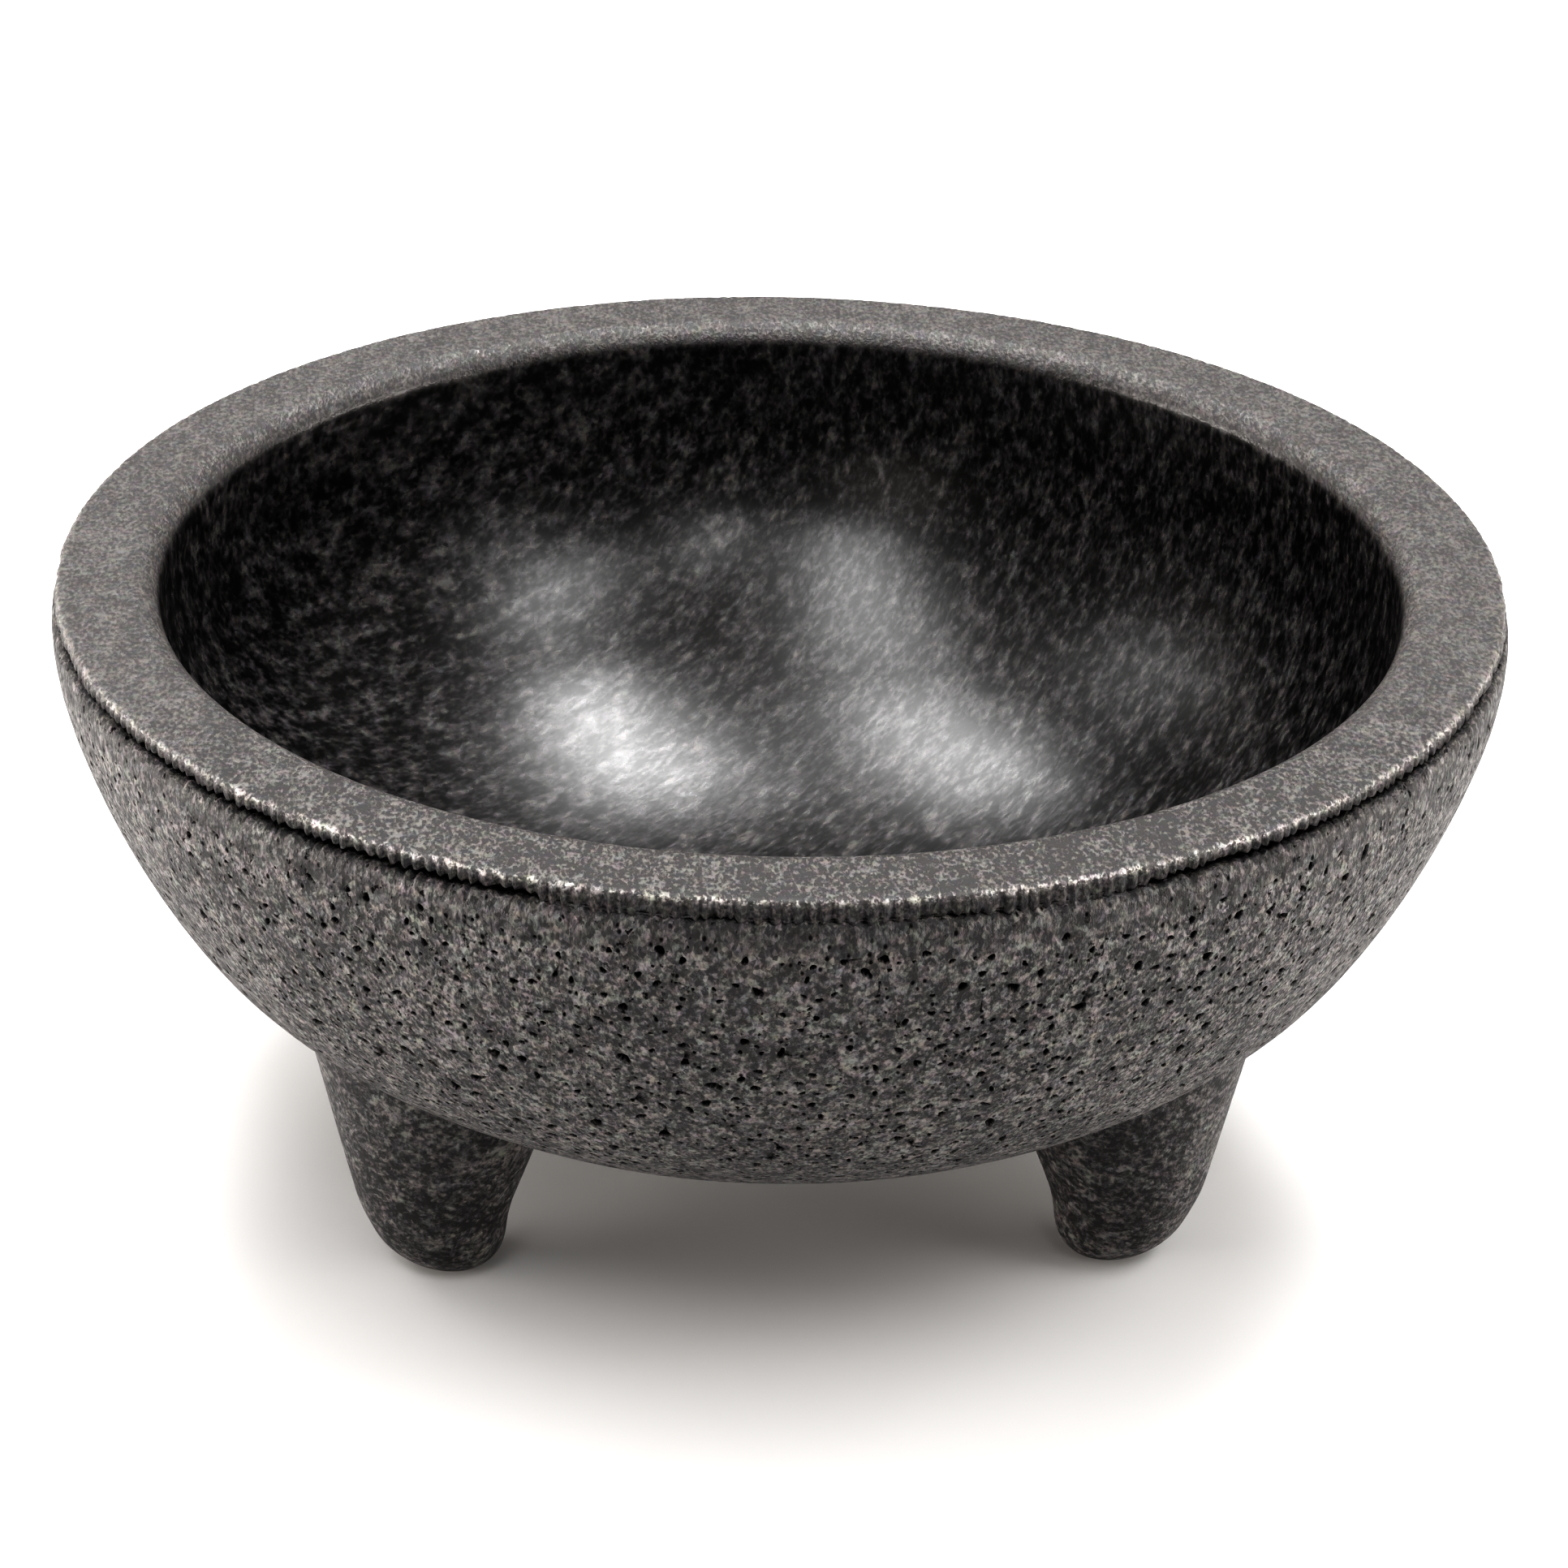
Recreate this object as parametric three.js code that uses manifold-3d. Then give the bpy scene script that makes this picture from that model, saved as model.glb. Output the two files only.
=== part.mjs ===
// Molcajete-style serving bowl on three feet, moulded in granite-look thermoplastic.
// A bowl liner with a broad flat rim closes a hollow outer shell: its tongue ring
// sits in a rebate in the shell's top edge, and the two lips leave a fine groove
// below the rim. Three separately moulded tapered legs are glued with their
// spigots in three sockets through the shell's floor.
// Millimetres, +Z up, origin on the bowl's axis at the surface it stands on.
import * as THREE from "three";
import { mergeVertices } from "three/addons/utils/BufferGeometryUtils.js";
import Module from "manifold-3d";

const wasm = await Module();
wasm.setup();

// ---- driving dimensions ----------------------------------------------------
const HEIGHT = 78.5; // floor to the top of the rim
const GAP = 0.3; // glue and running gap between touching pieces
const SEGMENTS = 64; // facets round the bowl

// rim and liner
const RIM_OUTER_R = 80.6; // rounded outer lip of the rim
const LIP_ROUND = 1.3; // upper edge of that lip
const LIP_UNDER_Z = HEIGHT - 2.0; // underside of the lip, the groove's upper edge
const GROOVE_R = 79.2; // floor of the groove
const RIM_UNDER_Z = HEIGHT - 2.5; // seat of the rim on the shell
const INNER_R = 69.1; // mouth of the bowl
const INNER_ROUND = 3.1; // rounding between the mouth and the flat of the rim
const INNER_BOTTOM_Z = 28.5; // inside bottom of the bowl
const INNER_POWER = 2.25; // how full the inside curve is (2 is an ellipse)
const LINER_WALL = 2.9;
const TONGUE_R_OUT = 77.5; // ring below the rim that locates the shell
const TONGUE_R_IN = 75.3;
const TONGUE_Z = HEIGHT - 6.4; // its lower edge

// shell
const SHELL_TOP_Z = RIM_UNDER_Z - GAP;
const SHELL_EDGE_ROUND = 0.7;
const SHELL_WALL = 3.0;
const SHELL_FLAT_R = 23.5; // flat centre of the floor
// outside of the shell from just under its top edge to the flat of its floor: [radius, distance below the top of the rim]
const SHELL_OUTSIDE = [
  [80.9, 4.2],
  [81.0, 6.2],
  [80.55, 9.4],
  [78.91, 15.67],
  [76.57, 22.0],
  [73.74, 28.12],
  [70.43, 33.99],
  [68.51, 36.77],
  [66.34, 39.34],
  [63.91, 41.69],
  [58.64, 45.89],
  [53.02, 49.61],
  [47.05, 52.74],
  [40.75, 55.17],
  [34.24, 56.89],
  [27.58, 57.89],
  [SHELL_FLAT_R, 58.14],
].map(([r, drop]) => [r, HEIGHT - drop]);

// legs
const LEG_AZIMUTHS = { leg_front_left: -150, leg_front_right: -30, leg_rear: 90 };
const LEG_FOOT_R = 46.6; // where the leg's axis meets the floor
const LEG_SPLAY = 4.5; // degrees, outwards at the foot
const LEG_HALF_ANGLE = 16.5; // degrees, taper of the leg
const LEG_TIP_R = 8.1; // ball of the foot
const LEG_FLAT = 0.45; // depth of the ball cut to a flat
const TIP_SHIFT = 2.8; // the ball's lowest point, drawn in towards the bowl's axis
const TIP_SHIFT_UP_TO = 10; // height at which that shift has died away
const LEG_SEGMENTS = 24;
const SPIGOT_R = 8.0;
const SPIGOT_PROUD = 0.8; // beyond the inside of the shell's floor
const CORE_TOP_R = 5.4; // blind moulding core, open at the spigot
const CORE_BOTTOM_R = 3.6;
const CORE_BOTTOM = 9.5; // height of the core's end above the foot

// ---- helpers ---------------------------------------------------------------
const rad = THREE.MathUtils.degToRad;

// A closed three.js geometry as a manifold-3d solid.
function solidOf(geometry) {
  const g = geometry.clone();
  g.deleteAttribute("normal");
  g.deleteAttribute("uv");
  const merged = mergeVertices(g, 1e-4);
  const source = merged.index.array;
  const faces = [];
  for (let i = 0; i < source.length; i += 3) {
    const [a, b, c] = [source[i], source[i + 1], source[i + 2]];
    if (a !== b && b !== c && c !== a) faces.push(a, b, c);
  }
  const p = merged.attributes.position.array;
  let volume = 0;
  for (let i = 0; i < faces.length; i += 3) {
    const [a, b, c] = [faces[i] * 3, faces[i + 1] * 3, faces[i + 2] * 3];
    volume +=
      p[a] * (p[b + 1] * p[c + 2] - p[b + 2] * p[c + 1]) -
      p[a + 1] * (p[b] * p[c + 2] - p[b + 2] * p[c]) +
      p[a + 2] * (p[b] * p[c + 1] - p[b + 1] * p[c]);
  }
  if (volume < 0)
    for (let i = 0; i < faces.length; i += 3)
      [faces[i + 1], faces[i + 2]] = [faces[i + 2], faces[i + 1]];
  return new wasm.Manifold(
    new wasm.Mesh({
      numProp: 3,
      vertProperties: new Float32Array(p),
      triVerts: new Uint32Array(faces),
    }),
  );
}

// The solid turned from a profile of [radius, z] points that starts and ends on the axis or closes on itself.
function turned(profile, segments = SEGMENTS) {
  const points = profile.map(([r, z]) => new THREE.Vector2(r, z));
  return new THREE.LatheGeometry(points, segments).rotateX(Math.PI / 2);
}

// Points on an arc, ends included.
function arc(cr, cz, radius, fromDeg, toDeg, steps) {
  const out = [];
  for (let i = 0; i <= steps; i++) {
    const a = rad(fromDeg + ((toDeg - fromDeg) * i) / steps);
    out.push([cr + radius * Math.cos(a), cz + radius * Math.sin(a)]);
  }
  return out;
}

// A polyline of [radius, z] points moved sideways by a distance, to its left where positive.
function offset(points, distance) {
  return points.map(([r, z], i) => {
    const a = points[Math.max(i - 1, 0)];
    const b = points[Math.min(i + 1, points.length - 1)];
    const d = new THREE.Vector2(b[0] - a[0], b[1] - a[1]).normalize();
    return [r - d.y * distance, z + d.x * distance];
  });
}

// The same solid placed on one leg's axis, which leans out by the splay and meets the floor at the foot.
function onLeg(geometry, azimuthDeg) {
  const a = rad(azimuthDeg);
  const matrix = new THREE.Matrix4()
    .makeRotationZ(a)
    .multiply(new THREE.Matrix4().makeTranslation(LEG_FOOT_R, 0, 0))
    .multiply(new THREE.Matrix4().makeRotationY(-rad(LEG_SPLAY)));
  return geometry.clone().applyMatrix4(matrix);
}

// Draws the lowest part of a leg in towards the bowl's axis, so that its outer side rounds up more than its inner side.
function tipDrawnIn(geometry) {
  const p = geometry.attributes.position;
  for (let i = 0; i < p.count; i++) {
    const share = Math.max(0, 1 - p.getZ(i) / TIP_SHIFT_UP_TO);
    p.setX(i, p.getX(i) - TIP_SHIFT * share ** 1.6);
  }
  return geometry;
}

const MATERIAL = {
  liner: { color: 0x57585a, roughness: 0.42, metalness: 0.0 },
  shell: { color: 0x505152, roughness: 0.62, metalness: 0.0 },
  leg: { color: 0x434445, roughness: 0.55, metalness: 0.0 },
};

function meshOf(name, solid, look) {
  const m = solid.getMesh();
  const geometry = new THREE.BufferGeometry();
  const position = new Float32Array(m.numVert * 3);
  for (let i = 0; i < m.numVert; i++)
    position.set(m.vertProperties.subarray(i * m.numProp, i * m.numProp + 3), i * 3);
  geometry.setAttribute("position", new THREE.BufferAttribute(position, 3));
  geometry.setIndex(new THREE.BufferAttribute(new Uint32Array(m.triVerts), 1));
  geometry.computeVertexNormals();
  const mesh = new THREE.Mesh(geometry, new THREE.MeshStandardMaterial(MATERIAL[look]));
  mesh.name = name;
  return mesh;
}

// ---- bowl liner with rim ---------------------------------------------------
// Inside curve from the bottom on the axis up to the start of the mouth's rounding.
const mouthZ = HEIGHT - INNER_ROUND;
const inside = [];
const INSIDE_STEPS = 12;
for (let i = 0; i <= INSIDE_STEPS; i++) {
  const t = (i / INSIDE_STEPS) * (Math.PI / 2);
  const e = 2 / INNER_POWER;
  inside.push([
    INNER_R * Math.sin(t) ** e,
    mouthZ - (mouthZ - INNER_BOTTOM_Z) * Math.cos(t) ** e,
  ]);
}
inside[0] = [0, INNER_BOTTOM_Z];
inside[INSIDE_STEPS] = [INNER_R, mouthZ];
// Back of the liner's wall, from under the rim down to the axis.
const back = offset(inside, -LINER_WALL)
  .filter(([r, z]) => z < RIM_UNDER_Z - 2.2 && r > 4)
  .filter((_, i) => i % 2 === 0 || i > 8)
  .reverse();
const linerProfile = [
  ...inside,
  ...arc(INNER_R + INNER_ROUND, mouthZ, INNER_ROUND, 180, 90, 4).slice(1),
  ...arc(RIM_OUTER_R - LIP_ROUND, HEIGHT - LIP_ROUND, LIP_ROUND, 90, 0, 4),
  [RIM_OUTER_R - 0.05, LIP_UNDER_Z + 0.35],
  [RIM_OUTER_R - 0.5, LIP_UNDER_Z],
  [GROOVE_R, LIP_UNDER_Z - 0.05],
  [GROOVE_R, RIM_UNDER_Z],
  [TONGUE_R_OUT, RIM_UNDER_Z],
  [TONGUE_R_OUT, TONGUE_Z + 0.4],
  [TONGUE_R_OUT - 0.4, TONGUE_Z],
  [TONGUE_R_IN, TONGUE_Z],
  [TONGUE_R_IN, RIM_UNDER_Z - 0.5],
  [INNER_R + LINER_WALL + 0.6, RIM_UNDER_Z - 0.5],
  ...back,
  [0, INNER_BOTTOM_Z - LINER_WALL],
];
const liner = solidOf(turned(linerProfile));

// ---- outer shell -----------------------------------------------------------
const shellInside = offset(SHELL_OUTSIDE, -SHELL_WALL)
  .filter(([, z]) => z < 64)
  .reverse();
shellInside[0] = [SHELL_FLAT_R, SHELL_OUTSIDE.at(-1)[1] + SHELL_WALL];
const socketShoulderR = TONGUE_R_IN - GAP;
const shellProfile = [
  [0, SHELL_OUTSIDE.at(-1)[1]],
  ...SHELL_OUTSIDE.slice().reverse(),
  ...arc(80.8 - SHELL_EDGE_ROUND, SHELL_TOP_Z - SHELL_EDGE_ROUND, SHELL_EDGE_ROUND, 0, 90, 3),
  [TONGUE_R_OUT + GAP, SHELL_TOP_Z],
  [TONGUE_R_OUT + GAP, TONGUE_Z - GAP],
  [socketShoulderR, TONGUE_Z - GAP],
  [socketShoulderR, TONGUE_Z - GAP - 1.6],
  ...shellInside.slice().reverse(),
  [0, SHELL_OUTSIDE.at(-1)[1] + SHELL_WALL],
];
let shell = solidOf(turned(shellProfile));

// ---- legs ------------------------------------------------------------------
// The space that the shell takes up, from a little outside its outer face, cuts each leg's root.
const shellSpace = solidOf(
  turned([
    [0, SHELL_OUTSIDE.at(-1)[1] - GAP],
    ...offset(SHELL_OUTSIDE, GAP).reverse(),
    [0, SHELL_OUTSIDE[0][1]],
  ]),
);
// The hollow inside the shell, less the length by which a spigot stands in it.
const hollow = offset(SHELL_OUTSIDE, -SHELL_WALL - SPIGOT_PROUD);
const hollowSpace = solidOf(
  turned([
    [0, SHELL_OUTSIDE.at(-1)[1] + SHELL_WALL + SPIGOT_PROUD],
    ...hollow.slice().reverse(),
    [0, hollow[0][1]],
  ]),
);

const legTan = Math.tan(rad(LEG_HALF_ANGLE));
const tipCentre = LEG_TIP_R - LEG_FLAT;
const coneFrom = tipCentre - LEG_TIP_R * Math.sin(rad(LEG_HALF_ANGLE));
const coneFromR = LEG_TIP_R * Math.cos(rad(LEG_HALF_ANGLE));
const LEG_TOP = 44;
const legProfile = [
  [0, tipCentre - LEG_TIP_R],
  ...arc(0, tipCentre, LEG_TIP_R, -90, -LEG_HALF_ANGLE, 7).slice(1),
  [coneFromR + (TIP_SHIFT_UP_TO - coneFrom) * legTan, TIP_SHIFT_UP_TO],
  [coneFromR + (LEG_TOP - coneFrom) * legTan, LEG_TOP],
  [0, LEG_TOP],
];
const spigotProfile = [
  [0, 14],
  [SPIGOT_R, 14],
  [SPIGOT_R, LEG_TOP],
  [0, LEG_TOP],
];
const socketProfile = [
  [0, 14],
  [SPIGOT_R + GAP, 14],
  [SPIGOT_R + GAP, LEG_TOP],
  [0, LEG_TOP],
];
const coreProfile = [
  [0, CORE_BOTTOM],
  [CORE_BOTTOM_R - 0.8, CORE_BOTTOM],
  [CORE_BOTTOM_R, CORE_BOTTOM + 0.8],
  [CORE_TOP_R, LEG_TOP + 2],
  [0, LEG_TOP + 2],
];
// Everything below the floor, which cuts the flat of each foot.
const belowFloor = solidOf(
  new THREE.BoxGeometry(300, 300, 20).translate(0, 0, -10),
);

const group = new THREE.Group();
group.name = "molcajete";
group.add(meshOf("bowl_liner", liner, "liner"));

const legs = [];
for (const [name, azimuth] of Object.entries(LEG_AZIMUTHS)) {
  const at = (profile, segments) => solidOf(onLeg(turned(profile, segments), azimuth));
  const outside = onLeg(tipDrawnIn(turned(legProfile, LEG_SEGMENTS)), azimuth);
  shell = shell.subtract(at(socketProfile, LEG_SEGMENTS));
  const leg = solidOf(outside)
    .subtract(shellSpace)
    .add(at(spigotProfile, LEG_SEGMENTS).subtract(hollowSpace))
    .subtract(at(coreProfile, 16))
    .subtract(belowFloor);
  legs.push(meshOf(name, leg, "leg"));
}
group.add(meshOf("outer_shell", shell, "shell"));
for (const leg of legs) group.add(leg);

export default group;
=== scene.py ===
import math

import bmesh
import bpy
import numpy as np
from mathutils import Matrix, Vector, noise
from mathutils.geometry import delaunay_2d_cdt


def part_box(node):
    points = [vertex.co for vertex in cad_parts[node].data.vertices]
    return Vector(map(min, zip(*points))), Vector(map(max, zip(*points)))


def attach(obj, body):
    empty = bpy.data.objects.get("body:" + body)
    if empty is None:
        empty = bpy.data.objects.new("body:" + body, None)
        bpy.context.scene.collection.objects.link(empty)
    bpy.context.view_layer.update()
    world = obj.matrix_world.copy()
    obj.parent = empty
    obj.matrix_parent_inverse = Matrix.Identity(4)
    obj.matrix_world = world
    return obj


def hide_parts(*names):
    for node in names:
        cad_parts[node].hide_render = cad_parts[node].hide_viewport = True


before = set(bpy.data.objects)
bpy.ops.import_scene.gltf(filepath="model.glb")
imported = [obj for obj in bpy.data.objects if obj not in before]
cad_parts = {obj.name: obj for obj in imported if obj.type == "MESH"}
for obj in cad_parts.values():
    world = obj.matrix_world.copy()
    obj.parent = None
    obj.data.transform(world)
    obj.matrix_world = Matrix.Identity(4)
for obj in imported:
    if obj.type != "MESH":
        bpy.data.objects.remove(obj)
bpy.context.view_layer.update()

MM = 0.001
WORLD_FRONT, WORLD_BACK, WORLD_TOP = 0.05, 0.92, 0.44  # how bright the room is round the bowl

# --------------------------------------------------------------------------
# Dimensions, in millimetres, as in the CAD model
# --------------------------------------------------------------------------
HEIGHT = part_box("bowl_liner")[1][2] / MM  # top of the rim
RIM_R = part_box("bowl_liner")[1][0] / MM  # outer radius of the rim's lip
SHELL_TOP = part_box("outer_shell")[1][2] / MM  # top edge of the shell
SHELL_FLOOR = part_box("outer_shell")[0][2] / MM  # underside of the shell
INNER_R, INNER_ROUND, INNER_POWER = 69.1, 3.1, 2.25
INNER_FLOOR = 28.5
LINER_WALL, SHELL_WALL = 2.9, 3.0
LIP_ROUND = 1.3
LIP_UNDER, RIM_UNDER = HEIGHT - 2.0, HEIGHT - 2.5
GROOVE_R = 79.2
TONGUE_OUT, TONGUE_IN, TONGUE_Z = 77.5, 75.3, HEIGHT - 6.4
SHELL_EDGE_R = 80.8

# outside of the shell: radius, distance below the top of the rim
OUTSIDE = np.array([
    (80.93, 4.3), (81.0, 5.79), (80.66, 9.14), (79.9, 12.44), (78.91, 15.67), (77.8, 18.86),
    (76.57, 22.0), (75.22, 25.09), (73.74, 28.12), (72.15, 31.09), (70.43, 33.99), (68.51, 36.77),
    (66.34, 39.34), (63.91, 41.69), (61.33, 43.85), (58.64, 45.89), (55.88, 47.82), (53.02, 49.61),
    (50.07, 51.26), (47.05, 52.74), (43.93, 54.04), (40.75, 55.17), (37.53, 56.12), (34.24, 56.89),
    (30.92, 57.47), (27.58, 57.89), (24.21, 58.11), (18.0, 58.14), (0.0, 58.14)])

# legs
LEG_AZ = {"leg_front_left": -150.0, "leg_front_right": -30.0, "leg_rear": 90.0}
LEG_FOOT_R, LEG_SPLAY, LEG_HALF, LEG_TIP_R, LEG_FLAT = 46.6, 4.5, 16.5, 8.1, 0.45
TIP_SHIFT, TIP_SHIFT_TO = 2.8, 10.0


# --------------------------------------------------------------------------
# Small tools
# --------------------------------------------------------------------------
def smooth01(x, a, b):
    t = np.clip((np.asarray(x, float) - a) / (b - a), 0.0, 1.0)
    return t * t * (3 - 2 * t)


def fbm(points, size, octaves=3, seed=0.0, rough=0.5):
    """Fractal noise of about -1..1 at points in millimetres, with features of about that size."""
    pts = np.asarray(points, float) / size + np.array([seed * 7.31, seed * 3.17, seed * 5.93])
    out = np.zeros(len(pts))
    amp, total = 1.0, 0.0
    for k in range(octaves):
        f = 2.0 ** k
        out += amp * np.array([noise.noise(Vector((p[0] * f, p[1] * f, p[2] * f))) for p in pts])
        total += amp
        amp *= rough
    return out / total


def resample(points, step):
    p = np.asarray(points, float)
    d = np.r_[0, np.cumsum(np.hypot(*np.diff(p, axis=0).T))]
    n = max(2, int(math.ceil(d[-1] / step)) + 1)
    s = np.linspace(0, d[-1], n)
    return np.stack([np.interp(s, d, p[:, 0]), np.interp(s, d, p[:, 1])], 1), s


def arc(cr, cz, radius, a0, a1, n):
    a = np.radians(np.linspace(a0, a1, n + 1))
    return [(cr + radius * math.cos(t), cz + radius * math.sin(t)) for t in a]


def add_mesh(name, verts, faces, attrs=None, smooth=True):
    """A mesh object in metres from vertices in millimetres; faces are triangles, or a list of any polygons."""
    me = bpy.data.meshes.new(name)
    me.from_pydata((np.asarray(verts) * MM).tolist(), [], [list(f) for f in faces])
    me.validate()
    me.polygons.foreach_set("use_smooth", [smooth] * len(me.polygons))
    for key, values in (attrs or {}).items():
        a = me.attributes.new(key, "FLOAT", "POINT")
        a.data.foreach_set("value", np.asarray(values, np.float32))
    me.update()
    ob = bpy.data.objects.new(name, me)
    bpy.context.scene.collection.objects.link(ob)
    return ob


def outward(ob):
    """Makes every face of a closed mesh look outwards."""
    bm = bmesh.new()
    bm.from_mesh(ob.data)
    bmesh.ops.remove_doubles(bm, verts=bm.verts, dist=1e-7)
    bmesh.ops.recalc_face_normals(bm, faces=bm.faces)
    if bm.calc_volume(signed=True) < 0:
        bmesh.ops.reverse_faces(bm, faces=bm.faces)
    open_edges = sum(1 for e in bm.edges if len(e.link_faces) != 2)
    tris = sum(len(f.verts) - 2 for f in bm.faces)
    print(ob.name, "tris", tris, "open edges", open_edges, "volume cm3 %.2f" % (bm.calc_volume() * 1e6))
    bm.to_mesh(ob.data)
    bm.free()


class Rings:
    """A surface of revolution from rings of vertices, whose counts may change by whole-number steps."""

    def __init__(self):
        self.verts, self.faces, self.prev = [], [], None
        self.count = 0

    def add(self, pts):
        start = self.count
        self.verts.append(np.asarray(pts, float).reshape(-1, 3))
        self.count += len(self.verts[-1])
        return np.arange(start, self.count)

    def ring(self, pts):
        ids = self.add(pts)
        if self.prev is not None:
            self.join(self.prev, ids)
        self.prev = ids
        return ids

    def join(self, a, b):
        """Faces between ring a and the ring b that follows it."""
        na, nb = len(a), len(b)
        if na == 1 or nb == 1:
            for i in range(max(na, nb)):
                if na == 1:
                    self.faces.append((a[0], b[(i + 1) % nb], b[i]))
                else:
                    self.faces.append((a[i], a[(i + 1) % na], b[0]))
            return
        if na == nb:
            for i in range(na):
                j = (i + 1) % na
                self.faces.append((a[i], a[j], b[j], b[i]))
            return
        if na < nb:
            k = nb // na
            assert k * na == nb, (na, nb)
            for i in range(na):
                j = (i + 1) % na
                h = k // 2
                for m in range(k):
                    q0, q1 = b[(i * k + m) % nb], b[(i * k + m + 1) % nb]
                    self.faces.append((a[i] if m < h else a[j], q1, q0))
                self.faces.append((a[i], a[j], b[(i * k + h) % nb]))
            return
        k = na // nb
        assert k * nb == na, (na, nb)
        for i in range(nb):
            j = (i + 1) % nb
            h = k // 2
            for m in range(k):
                q0, q1 = a[(i * k + m) % na], a[(i * k + m + 1) % na]
                self.faces.append((q0, q1, b[i] if m < h else b[j]))
            self.faces.append((a[(i * k + h) % na], b[j], b[i]))


def circle(r, z, n, phase=0.0):
    t = np.arange(n) / n * 2 * np.pi + phase
    return np.stack([r * np.cos(t), r * np.sin(t), np.full(n, z)], 1)


# --------------------------------------------------------------------------
# Outer shell: a pitted skin, with every pit in the mesh
# --------------------------------------------------------------------------
def outer_curve():
    """Fine profile of the shell's outside from the centre of its floor up: radius, z, and the arc length."""
    pts = OUTSIDE[::-1].copy()
    pts[:, 1] = HEIGHT - pts[:, 1]
    p, s = resample(pts, 0.1)
    k = 21
    w = np.hanning(k + 2)[1:-1]
    w /= w.sum()
    pad = np.r_[p[0] * 0, 0]
    out = []
    for c in range(2):
        a = p[:, c]
        ext = np.r_[2 * a[0] - a[k // 2:0:-1], a, 2 * a[-1] - a[-2:-k // 2 - 1:-1]]
        out.append(np.convolve(ext, w, "valid"))
    p = np.stack(out, 1)
    p[0, 0] = 0.0
    s = np.r_[0, np.cumsum(np.hypot(*np.diff(p, axis=0).T))]
    return p, s


CURVE, CURVE_S = outer_curve()
_t = np.gradient(CURVE, CURVE_S, axis=0)
_t /= np.linalg.norm(_t, axis=1)[:, None]
CURVE_N = np.stack([_t[:, 1], -_t[:, 0]], 1)  # outward normal: radial, z


def on_shell(theta, s, depth=0.0):
    """Points on the shell's outside at azimuth theta and arc length s, sunk by a depth."""
    r = np.interp(s, CURVE_S, CURVE[:, 0])
    z = np.interp(s, CURVE_S, CURVE[:, 1])
    nr = np.interp(s, CURVE_S, CURVE_N[:, 0])
    nz = np.interp(s, CURVE_S, CURVE_N[:, 1])
    r = r - nr * depth
    z = z - nz * depth
    return np.stack([r * np.cos(theta), r * np.sin(theta), z], 1)


LEG_AXIS = {}
for _name, _az in LEG_AZ.items():
    _a = math.radians(_az)
    _m = (Matrix.Rotation(_a, 4, "Z") @ Matrix.Translation((LEG_FOOT_R, 0, 0))
          @ Matrix.Rotation(-math.radians(LEG_SPLAY), 4, "Y"))
    LEG_AXIS[_name] = np.array(_m)


def leg_clear(points):
    """Distance in mm of points from the nearest leg's side; negative inside a leg."""
    best = np.full(len(points), 1e9)
    for m in LEG_AXIS.values():
        inv = np.linalg.inv(m)
        q = np.c_[points, np.ones(len(points))] @ inv.T
        rad = LEG_TIP_R * math.cos(math.radians(LEG_HALF)) + (
            q[:, 2] - (LEG_TIP_R - LEG_FLAT - LEG_TIP_R * math.sin(math.radians(LEG_HALF)))
        ) * math.tan(math.radians(LEG_HALF))
        best = np.minimum(best, np.hypot(q[:, 0], q[:, 1]) - rad)
    return best


def pit_sites(rng, n_big, n_small, s_top):
    """Pit centres, no two touching: theta, s, half-length, half-width, turn, depth, and kind."""
    r_of = lambda s: np.interp(s, CURVE_S, CURVE[:, 0])
    z_of = lambda s: np.interp(s, CURVE_S, CURVE[:, 1])
    cell = 2.4
    grid = {}
    out = []

    def try_many(count, kind, tries):
        placed = 0
        # uniform over the true surface: s weighted by radius
        s_all = CURVE_S[CURVE_S < s_top]
        w = r_of(s_all)
        w = np.cumsum(w) / w.sum()
        S = np.interp(rng.random(tries), w, s_all)
        T = rng.random(tries) * 2 * np.pi
        P = on_shell(T, S)
        patch = fbm(P, 17.0, 2, seed=3.0)
        patch2 = fbm(P, 6.0, 1, seed=5.0)
        free = leg_clear(P)
        z = P[:, 2]
        band = smooth01(z, 23.0, 38.0) * (1 - 0.30 * smooth01(z, 66.0, 74.0))
        keep = band * np.clip(0.62 + 0.9 * patch + 0.5 * patch2, 0.05, 1.0)
        chance = rng.random(tries)
        if kind == 0:
            a = np.exp(rng.normal(math.log(0.40), 0.30, tries)).clip(0.27, 0.80)
            asp = 1.0 + rng.random(tries) ** 2 * 1.3
        else:
            a = rng.uniform(0.17, 0.27, tries)
            asp = 1.0 + rng.random(tries) * 0.5
        turn = rng.random(tries) * np.pi
        dep = a * rng.uniform(0.9, 1.4, tries)
        for i in range(tries):
            if placed >= count:
                break
            if chance[i] > keep[i] or free[i] < 1.2:
                continue
            la, lb = a[i] * math.sqrt(asp[i]), a[i] / math.sqrt(asp[i])
            reach = la * 1.50 + 0.05
            if S[i] + reach > s_top:
                continue
            # compare in true distances, so that sites don't touch near the floor either
            key = (int(P[i, 0] // cell), int(P[i, 1] // cell), int(P[i, 2] // cell))
            ok = True
            for dx in (-1, 0, 1):
                for dy in (-1, 0, 1):
                    for dz in (-1, 0, 1):
                        for (q, qr) in grid.get((key[0] + dx, key[1] + dy, key[2] + dz), ()):
                            d = P[i] - q
                            if d @ d < (reach + qr) ** 2:
                                ok = False
                                break
                        if not ok:
                            break
                    if not ok:
                        break
                if not ok:
                    break
            if not ok:
                continue
            grid.setdefault(key, []).append((P[i], reach))
            out.append((T[i], S[i], la, lb, turn[i], dep[i], kind))
            placed += 1
        return placed

    big = try_many(n_big, 0, n_big * 7)
    small = try_many(n_small, 1, n_small * 7)
    return np.array(out), big, small


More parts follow.
